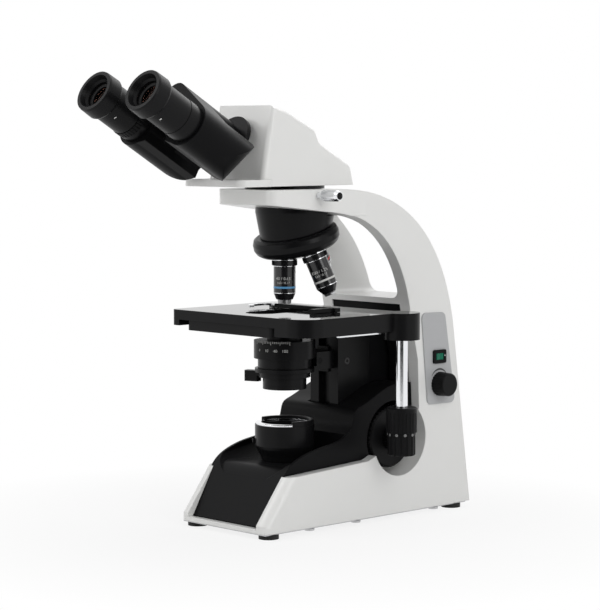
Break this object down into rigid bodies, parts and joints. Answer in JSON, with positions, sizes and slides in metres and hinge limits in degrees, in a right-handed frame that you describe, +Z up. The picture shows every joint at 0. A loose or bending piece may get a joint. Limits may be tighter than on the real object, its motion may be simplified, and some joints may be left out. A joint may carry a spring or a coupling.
{
  "type": "compound microscope",
  "caption": "Upright binocular compound microscope: white arched stand with a window, black mechanical stage, turning nosepiece, condenser, built-in lamp and inclined eye tubes.",
  "frame": {"origin": "on the table, under the middle of the overall box", "axes": "+Z up, +Y from the user towards the arm, +X to the user's right, the side with the controls"},
  "size_m": [0.2094, 0.434, 0.4512],
  "materials": {
    "white_enamel": "smooth satin white paint",
    "black_cover": "fine matt black moulding",
    "black_metal": "satin black paint",
    "black_grip": "ribbed black knobs",
    "eyecup_rubber": "soft black rubber",
    "black_eyepiece": "satin black",
    "bright_chrome": "polished",
    "barrel_steel": "turned barrels",
    "steel": "plain steel",
    "brass": "plain brass",
    "heat_sink": "bare",
    "grey_panel": "pale grey plate",
    "control_body": "dark moulding",
    "green_lens": "translucent green",
    "lens_glass": "clear"
  },
  "bodies": {
    "stand": {"stand_casting": "white_enamel", "base_cover": "black_cover", "column_cover": "black_cover", "bottom_plate": "steel", "feet": "eyecup_rubber", "plate_screws": "steel", "light_port": "black_metal", "port_ring": "bright_chrome", "field_lens": "lens_glass", "lamp_module": "heat_sink", "power_inlet": "black_cover", "control_panel": "grey_panel", "switch_bezel": "black_cover", "dimmer_pot": "control_body", "focus_rail": "steel", "focus_bushes": "brass", "head_seat": "black_metal", "nosepiece_mount": "black_metal"},
    "clamp_screw": {"head_clamp_screw": "bright_chrome"},
    "rocker": {"switch_rocker": "green_lens"},
    "dimmer": {"dimmer_knob": "black_grip"},
    "carriage": {"focus_carriage": "black_metal", "focus_rack": "brass", "stage_base_plate": "black_metal", "stage_rails": "steel"},
    "coarse_drive": {"coarse_shaft": "steel", "coarse_knob_right": "black_grip", "coarse_knob_left": "black_grip"},
    "fine_drive": {"fine_shaft": "steel", "fine_knob_right": "black_grip", "fine_knob_left": "black_grip"},
    "stage": {"stage_plate": "black_metal", "drive_tube": "bright_chrome"},
    "stage_y_knob": {"y_knob": "black_grip"},
    "stage_x_knob": {"x_knob": "black_grip"},
    "holder": {"slide_holder": "black_metal"},
    "finger": {"holder_finger": "bright_chrome"},
    "condenser": {"condenser_mount": "black_metal", "condenser_body": "black_metal", "condenser_lens": "lens_glass"},
    "iris": {"iris_lever": "black_metal"},
    "condenser_drive": {"condenser_knob": "black_grip"},
    "turret": {"turret_disc": "black_metal", "objective_4x": "barrel_steel", "objective_10x": "barrel_steel", "objective_40x": "barrel_steel", "objective_100x": "barrel_steel"},
    "head": {"head_body": "white_enamel", "head_dovetail": "black_metal", "hinge_hub": "black_metal"},
    "right_eye": {"right_prism_housing": "black_metal", "right_tube": "black_metal", "right_eyepiece": "black_eyepiece", "right_eye_lens": "lens_glass"},
    "left_eye": {"left_prism_housing": "black_metal", "left_tube": "black_metal", "left_eyepiece": "black_eyepiece", "left_eye_lens": "lens_glass"},
    "diopter": {"left_diopter_ring": "black_grip"}
  },
  "joints": [
    {"name": "focus_travel", "type": "slide", "parent": "stand", "child": "carriage", "axis": [0, 0, 1], "range_m": [-0.02, 0.002]},
    {"name": "coarse_turn", "type": "hinge", "parent": "stand", "child": "coarse_drive", "pos_m": [-0.00725, 0.1105, 0.082], "axis": [1, 0, 0], "range_deg": [-116, 13]},
    {"name": "fine_turn", "type": "hinge", "parent": "coarse_drive", "child": "fine_drive", "pos_m": [-0.00725, 0.1105, 0.082], "axis": [1, 0, 0], "continuous": true},
    {"name": "stage_travel", "type": "slide", "parent": "carriage", "child": "stage", "axis": [0, 1, 0], "range_m": [-0.028, 0.024]},
    {"name": "stage_y_turn", "type": "hinge", "parent": "stage", "child": "stage_y_knob", "pos_m": [0.08675, 0.0795, 0.107], "axis": [0, 0, 1], "range_deg": [-460, 395]},
    {"name": "stage_x_turn", "type": "hinge", "parent": "stage", "child": "stage_x_knob", "pos_m": [0.08675, 0.0795, 0.083], "axis": [0, 0, 1], "range_deg": [-361, 361]},
    {"name": "holder_travel", "type": "slide", "parent": "stage", "child": "holder", "axis": [1, 0, 0], "range_m": [-0.03, 0.03]},
    {"name": "finger_swing", "type": "hinge", "parent": "holder", "child": "finger", "pos_m": [-0.04725, 0.033, 0.217], "axis": [0, 0, 1], "range_deg": [-35, 0], "stiffness_Nm_per_rad": 0.01},
    {"name": "condenser_travel", "type": "slide", "parent": "carriage", "child": "condenser", "axis": [0, 0, 1], "range_m": [-0.01, 0]},
    {"name": "condenser_turn", "type": "hinge", "parent": "condenser", "child": "condenser_drive", "pos_m": [-0.02725, 0.0435, 0.163], "axis": [1, 0, 0], "range_deg": [-181, 1]},
    {"name": "iris_swing", "type": "hinge", "parent": "condenser", "child": "iris", "pos_m": [-0.00725, 0.0075, 0.15], "axis": [0, 0, 1], "range_deg": [-35, 35]},
    {"name": "turret_turn", "type": "hinge", "parent": "stand", "child": "turret", "pos_m": [-0.00725, 0.02769, 0.27279], "axis": [0, -0.2756, 0.9613], "continuous": true},
    {"name": "head_turn", "type": "hinge", "parent": "stand", "child": "head", "pos_m": [-0.00725, 0.0075, 0.34], "axis": [0, 0, 1], "continuous": true},
    {"name": "right_eye_swing", "type": "hinge", "parent": "head", "child": "right_eye", "pos_m": [-0.00725, -0.1905, 0.46071], "axis": [0, -0.866, 0.5], "range_deg": [-14, 3]},
    {"name": "left_eye_swing", "type": "hinge", "parent": "head", "child": "left_eye", "pos_m": [-0.00725, -0.1905, 0.46071], "axis": [0, -0.866, 0.5], "range_deg": [-3, 14]},
    {"name": "diopter_turn", "type": "hinge", "parent": "left_eye", "child": "diopter", "pos_m": [-0.04275, -0.2065, 0.433], "axis": [0, -0.866, 0.5], "range_deg": [-150, 150]},
    {"name": "clamp_turn", "type": "hinge", "parent": "stand", "child": "clamp_screw", "pos_m": [0.05275, 0.0055, 0.332], "axis": [1, 0, 0], "range_deg": [-360, 0]},
    {"name": "rocker_tilt", "type": "hinge", "parent": "stand", "child": "rocker", "pos_m": [0.05035, 0.1665, 0.1625], "axis": [0, 0, 1], "range_deg": [-5, 5]},
    {"name": "dimmer_turn", "type": "hinge", "parent": "stand", "child": "dimmer", "pos_m": [0.06275, 0.1675, 0.134], "axis": [1, 0, 0], "range_deg": [-270, 0]}
  ],
  "couplings": [
    {"joint": "coarse_turn", "follows": "focus_travel", "rad_per_m": 100},
    {"joint": "stage_y_turn", "follows": "stage_travel", "rad_per_m": 285.6},
    {"joint": "stage_x_turn", "follows": "holder_travel", "rad_per_m": 209.44},
    {"joint": "condenser_turn", "follows": "condenser_travel", "rad_per_m": 314.16},
    {"joint": "left_eye_swing", "follows": "right_eye_swing", "ratio": -1}
  ]
}
